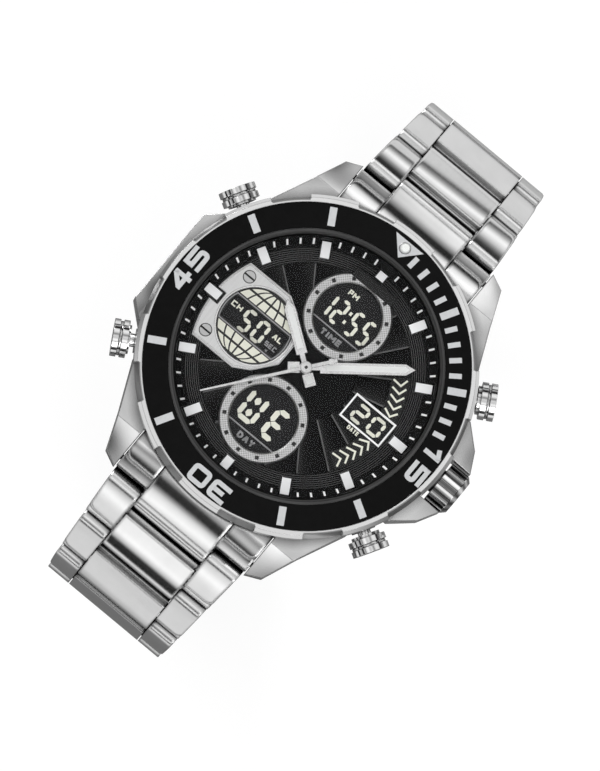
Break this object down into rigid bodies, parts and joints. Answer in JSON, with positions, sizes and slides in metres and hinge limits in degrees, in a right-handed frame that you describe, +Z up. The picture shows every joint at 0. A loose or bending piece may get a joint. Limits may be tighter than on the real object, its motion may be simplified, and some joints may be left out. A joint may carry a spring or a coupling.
{
  "type": "wristwatch",
  "caption": "Round steel wristwatch with hands and digital displays, a turning notched bezel, side pushers, a guarded crown and a link bracelet with a folding clasp.",
  "frame": {"origin": "on the plane that the clasp cover rests on, under the middle of the dial", "axes": "+X towards 3 o'clock and the crown, +Y towards 12 o'clock, +Z up out of the dial"},
  "size_m": [0.0504, 0.0818, 0.0544],
  "materials": {
    "bracelet_steel": "satin faces with polished edges",
    "polished_steel": "polished",
    "plain_steel": "satin",
    "seal_rubber": "matt",
    "insert_black": "semi-gloss",
    "pearl": "gloss",
    "crystal_glass": "clear",
    "dial_black": "satin",
    "display_black": "gloss",
    "marker_white": "satin",
    "dial_silver": "circular brushed",
    "globe_cream": "matt",
    "hand_silver": "polished",
    "module_plastic": "matt",
    "board_green": "satin",
    "cell_steel": "satin",
    "contact_brass": "bright"
  },
  "bodies": {
    "case": {"case_middle": "bracelet_steel", "case_back": "bracelet_steel", "case_back_gasket": "seal_rubber", "case_back_screws": "plain_steel", "case_tubes": "plain_steel", "bezel_click_spring": "plain_steel", "crystal": "crystal_glass", "crystal_gasket": "seal_rubber", "movement": "module_plastic", "circuit_board": "board_green", "battery": "cell_steel", "battery_clip": "contact_brass", "movement_holder": "module_plastic", "contact_springs": "contact_brass", "display_glass": "display_black", "dial_plate": "dial_black", "subdial_rings": "dial_silver", "seconds_plate": "dial_silver", "globe_disc": "globe_cream", "seconds_plate_screws": "plain_steel", "chapter_ring": "dial_black", "hour_markers": "marker_white", "end_link_12": "bracelet_steel", "end_link_6": "bracelet_steel", "lug_spring_bars": "plain_steel"},
    "bezel": {"bezel_ring": "bracelet_steel", "bezel_insert": "insert_black", "bezel_pearl": "pearl"},
    "hour_hand": {"hour_hand": "hand_silver"},
    "minute_hand": {"minute_hand": "hand_silver"},
    "second_hand": {"second_hand": "hand_silver"},
    "crown_slider": {"crown_seal": "seal_rubber"},
    "crown": {"crown": "bracelet_steel", "crown_stem": "plain_steel"},
    "pusher_2": {"pusher_2": "polished_steel"},
    "pusher_4": {"pusher_4": "polished_steel"},
    "pusher_8": {"pusher_8": "polished_steel"},
    "pusher_10": {"pusher_10": "polished_steel"},
    "link_12_1": {"link_12_1": "bracelet_steel"},
    "link_12_2": {"link_12_2": "bracelet_steel"},
    "link_12_3": {"link_12_3": "bracelet_steel"},
    "link_12_4": {"link_12_4": "bracelet_steel"},
    "link_12_5": {"link_12_5": "bracelet_steel"},
    "link_12_6": {"link_12_6": "bracelet_steel"},
    "link_12_7": {"link_12_7": "bracelet_steel"},
    "link_12_8": {"link_12_8": "bracelet_steel"},
    "link_6_1": {"link_6_1": "bracelet_steel"},
    "link_6_2": {"link_6_2": "bracelet_steel"},
    "link_6_3": {"link_6_3": "bracelet_steel"},
    "link_6_4": {"link_6_4": "bracelet_steel"},
    "link_6_5": {"link_6_5": "bracelet_steel"},
    "link_6_6": {"link_6_6": "bracelet_steel"},
    "link_6_7": {"link_6_7": "bracelet_steel"},
    "link_6_8": {"link_6_8": "bracelet_steel", "clasp_spring_bar": "plain_steel"},
    "clasp_cover": {"clasp_cover": "bracelet_steel", "clasp_cover_pins": "plain_steel"},
    "clasp_middle_blade": {"clasp_middle_blade": "plain_steel", "clasp_fold_pin": "plain_steel"},
    "clasp_inner_blade": {"clasp_inner_blade": "plain_steel"}
  },
  "joints": [
    {"name": "bezel_turn", "type": "hinge", "parent": "case", "child": "bezel", "pos_m": [0, 0, 0.05179], "axis": [0, 0, -1], "continuous": true},
    {"name": "second_turn", "type": "hinge", "parent": "case", "child": "second_hand", "pos_m": [0, 0, 0.05079], "axis": [0, 0, -1], "continuous": true},
    {"name": "minute_turn", "type": "hinge", "parent": "case", "child": "minute_hand", "pos_m": [0, 0, 0.05079], "axis": [0, 0, -1], "continuous": true},
    {"name": "hour_turn", "type": "hinge", "parent": "case", "child": "hour_hand", "pos_m": [0, 0, 0.05079], "axis": [0, 0, -1], "continuous": true},
    {"name": "crown_pull", "type": "slide", "parent": "case", "child": "crown_slider", "axis": [1, 0, 0], "range_m": [0, 0.001]},
    {"name": "crown_turn", "type": "hinge", "parent": "crown_slider", "child": "crown", "pos_m": [0.025, 0, 0.04679], "axis": [1, 0, 0], "continuous": true},
    {"name": "pusher_2_press", "type": "slide", "parent": "case", "child": "pusher_2", "axis": [-0.866, -0.5, 0], "range_m": [0, 0.0008], "stiffness_N_per_m": 300, "springref_m": -0.0005},
    {"name": "pusher_4_press", "type": "slide", "parent": "case", "child": "pusher_4", "axis": [-0.866, 0.5, 0], "range_m": [0, 0.0008], "stiffness_N_per_m": 300, "springref_m": -0.0005},
    {"name": "pusher_8_press", "type": "slide", "parent": "case", "child": "pusher_8", "axis": [0.866, 0.5, 0], "range_m": [0, 0.0008], "stiffness_N_per_m": 300, "springref_m": -0.0005},
    {"name": "pusher_10_press", "type": "slide", "parent": "case", "child": "pusher_10", "axis": [0.866, -0.5, 0], "range_m": [0, 0.0008], "stiffness_N_per_m": 300, "springref_m": -0.0005},
    {"name": "link_12_1_hinge", "type": "hinge", "parent": "case", "child": "link_12_1", "pos_m": [0, 0.0272, 0.04549], "axis": [-1, 0, 0], "range_deg": [-39, 0]},
    {"name": "link_12_2_hinge", "type": "hinge", "parent": "link_12_1", "child": "link_12_2", "pos_m": [0, 0.03327, 0.04109], "axis": [-1, 0, 0], "range_deg": [-18, 0]},
    {"name": "link_12_3_hinge", "type": "hinge", "parent": "link_12_2", "child": "link_12_3", "pos_m": [0, 0.03799, 0.03526], "axis": [-1, 0, 0], "range_deg": [-31, 0]},
    {"name": "link_12_4_hinge", "type": "hinge", "parent": "link_12_3", "child": "link_12_4", "pos_m": [0, 0.03942, 0.0279], "axis": [-1, 0, 0], "range_deg": [-24, 0]},
    {"name": "link_12_5_hinge", "type": "hinge", "parent": "link_12_4", "child": "link_12_5", "pos_m": [0, 0.03812, 0.02051], "axis": [-1, 0, 0], "range_deg": [-21, 0]},
    {"name": "link_12_6_hinge", "type": "hinge", "parent": "link_12_5", "child": "link_12_6", "pos_m": [0, 0.0346, 0.01389], "axis": [-1, 0, 0], "range_deg": [-19, 0]},
    {"name": "link_12_7_hinge", "type": "hinge", "parent": "link_12_6", "child": "link_12_7", "pos_m": [0, 0.02939, 0.00849], "axis": [-1, 0, 0], "range_deg": [-17, 0]},
    {"name": "link_12_8_hinge", "type": "hinge", "parent": "link_12_7", "child": "link_12_8", "pos_m": [0, 0.02302, 0.00452], "axis": [-1, 0, 0], "range_deg": [-17, 0]},
    {"name": "link_6_1_hinge", "type": "hinge", "parent": "case", "child": "link_6_1", "pos_m": [0, -0.0272, 0.04549], "axis": [1, 0, 0], "range_deg": [-39, 0]},
    {"name": "link_6_2_hinge", "type": "hinge", "parent": "link_6_1", "child": "link_6_2", "pos_m": [0, -0.03327, 0.04109], "axis": [1, 0, 0], "range_deg": [-18, 0]},
    {"name": "link_6_3_hinge", "type": "hinge", "parent": "link_6_2", "child": "link_6_3", "pos_m": [0, -0.03799, 0.03526], "axis": [1, 0, 0], "range_deg": [-31, 0]},
    {"name": "link_6_4_hinge", "type": "hinge", "parent": "link_6_3", "child": "link_6_4", "pos_m": [0, -0.03942, 0.0279], "axis": [1, 0, 0], "range_deg": [-24, 0]},
    {"name": "link_6_5_hinge", "type": "hinge", "parent": "link_6_4", "child": "link_6_5", "pos_m": [0, -0.03812, 0.02051], "axis": [1, 0, 0], "range_deg": [-21, 0]},
    {"name": "link_6_6_hinge", "type": "hinge", "parent": "link_6_5", "child": "link_6_6", "pos_m": [0, -0.0346, 0.01389], "axis": [1, 0, 0], "range_deg": [-19, 0]},
    {"name": "link_6_7_hinge", "type": "hinge", "parent": "link_6_6", "child": "link_6_7", "pos_m": [0, -0.02939, 0.00849], "axis": [1, 0, 0], "range_deg": [-17, 0]},
    {"name": "link_6_8_hinge", "type": "hinge", "parent": "link_6_7", "child": "link_6_8", "pos_m": [0, -0.02302, 0.00452], "axis": [1, 0, 0], "range_deg": [-17, 0]},
    {"name": "clasp_cover_hinge", "type": "hinge", "parent": "link_12_8", "child": "clasp_cover", "pos_m": [0, 0.01589, 0.0022], "axis": [-1, 0, 0], "range_deg": [-60, 0]},
    {"name": "clasp_middle_fold", "type": "hinge", "parent": "clasp_cover", "child": "clasp_middle_blade", "pos_m": [0, -0.0118, 0.002], "axis": [1, 0, 0], "range_deg": [0, 35]},
    {"name": "clasp_inner_fold", "type": "hinge", "parent": "clasp_middle_blade", "child": "clasp_inner_blade", "pos_m": [0, 0.0109, 0.00255], "axis": [-1, 0, 0], "range_deg": [0, 95]}
  ],
  "couplings": [
    {"joint": "minute_turn", "follows": "second_turn", "ratio": 0.016667},
    {"joint": "hour_turn", "follows": "second_turn", "ratio": 0.0013889}
  ]
}
